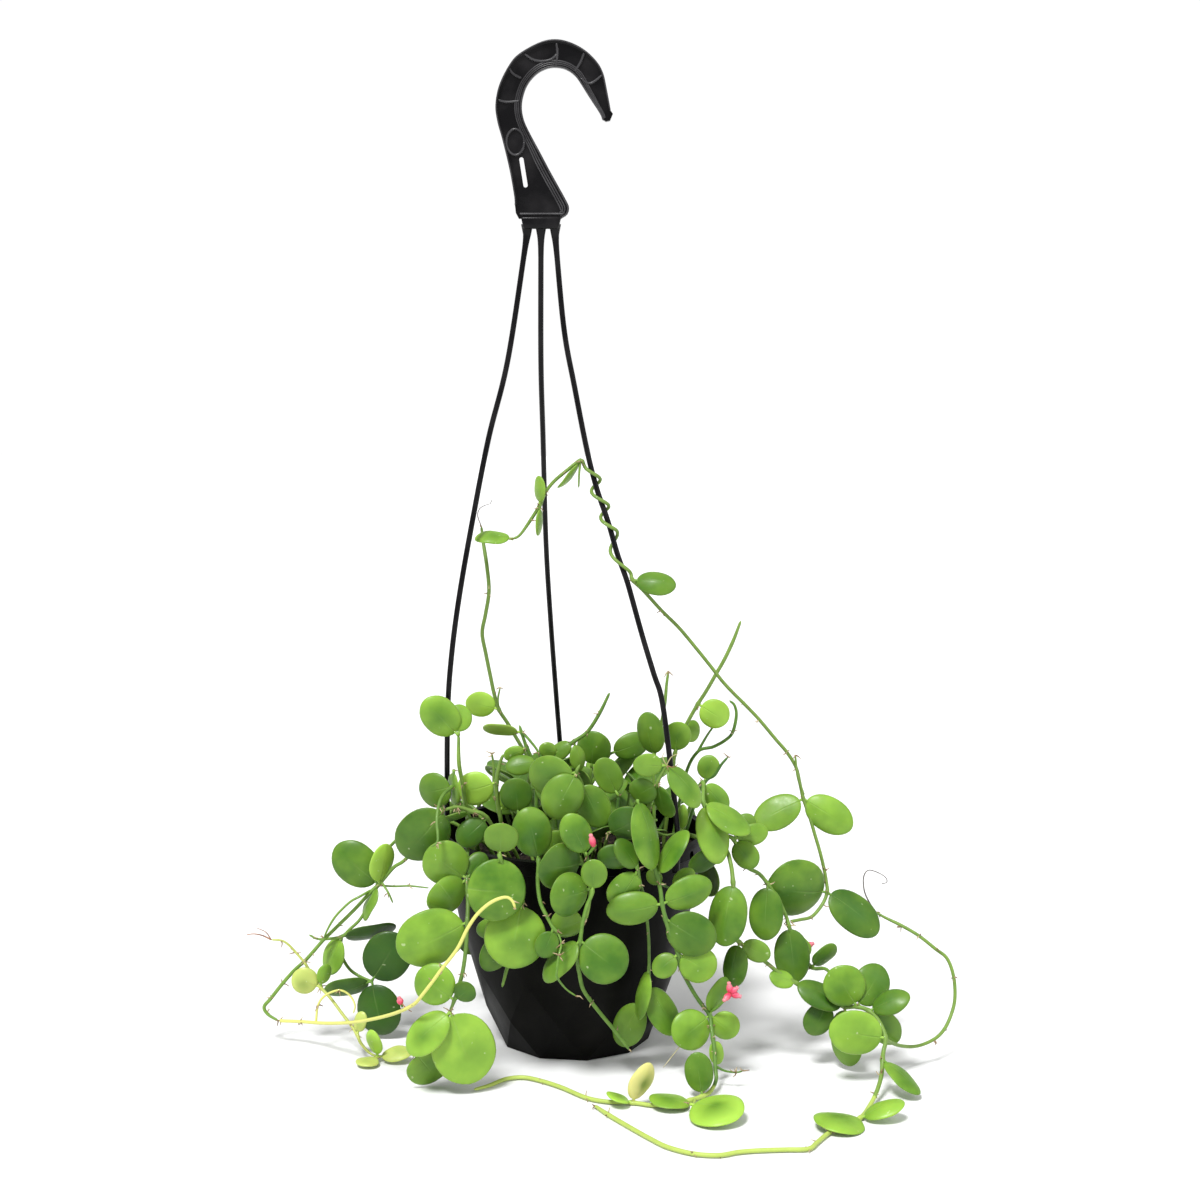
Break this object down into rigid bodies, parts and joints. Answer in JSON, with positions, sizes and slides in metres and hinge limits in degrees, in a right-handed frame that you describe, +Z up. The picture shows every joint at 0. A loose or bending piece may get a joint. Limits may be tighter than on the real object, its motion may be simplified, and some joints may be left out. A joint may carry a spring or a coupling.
{
  "type": "potted climbing plant",
  "caption": "Climbing plant with thick round leaves in pairs on twining and trailing stems, in a faceted hanging pot with a hook hanger.",
  "frame": {"origin": "centre of the pot's underside, on the surface that the pot stands on", "axes": "+Z up, along the pot's axis to the hanger; -Y toward the viewer of the picture; +X to that viewer's right"},
  "size_m": [0.3976, 0.2776, 0.5667],
  "materials": {
    "pot_plastic": "satin",
    "hanger_plastic": "satin",
    "soil": "matte",
    "leaf": "satin",
    "ripe_stem": "satin",
    "bud": "satin"
  },
  "bodies": {
    "root": {"bud_crown": "bud", "bud_left": "bud", "bud_right": "bud", "bud_right_high": "bud", "buds_front": "bud", "hanger_arm_back": "hanger_plastic", "hanger_arm_left": "hanger_plastic", "hanger_arm_right": "hanger_plastic", "hanger_hook": "hanger_plastic", "pot": "pot_plastic", "soil": "soil", "tuft_1": "leaf", "tuft_2": "leaf", "tuft_3": "leaf", "tuft_4": "leaf", "tuft_5": "leaf", "tuft_6": "leaf", "tuft_7": "leaf", "tuft_8": "leaf", "tuft_9": "leaf", "tuft_10": "leaf", "tuft_11": "leaf", "vine_back_1": "leaf", "vine_back_2": "leaf", "vine_back_3": "leaf", "vine_back_4": "leaf", "vine_back_5": "leaf", "vine_back_6": "leaf", "vine_back_low": "leaf", "vine_dark_round": "leaf", "vine_fork": "leaf", "vine_front_fall": "leaf", "vine_front_left": "leaf", "vine_front_lime": "leaf", "vine_front_mid": "leaf", "vine_dark_left": "leaf", "vine_front_root": "leaf", "vine_front_thin": "leaf", "vine_heart": "leaf", "vine_left": "leaf", "vine_left_rim": "leaf", "vine_left_round": "leaf", "vine_left_runner": "ripe_stem", "vine_left_yellow": "ripe_stem", "vine_light_left": "leaf", "vine_mid_oval": "leaf", "vine_mid_pair": "leaf", "vine_right_bud": "leaf", "vine_right_curl": "leaf", "vine_right_fall": "leaf", "vine_right_leafy": "leaf", "vine_right_lime": "leaf", "vine_right_long": "leaf", "vine_right_mid": "leaf", "vine_right_star": "leaf", "vine_sprout_arm": "leaf", "vine_sprout_left": "leaf", "vine_sprout_tall": "leaf", "vine_tall_left": "leaf", "vine_twining": "leaf"}
  },
  "joints": []
}
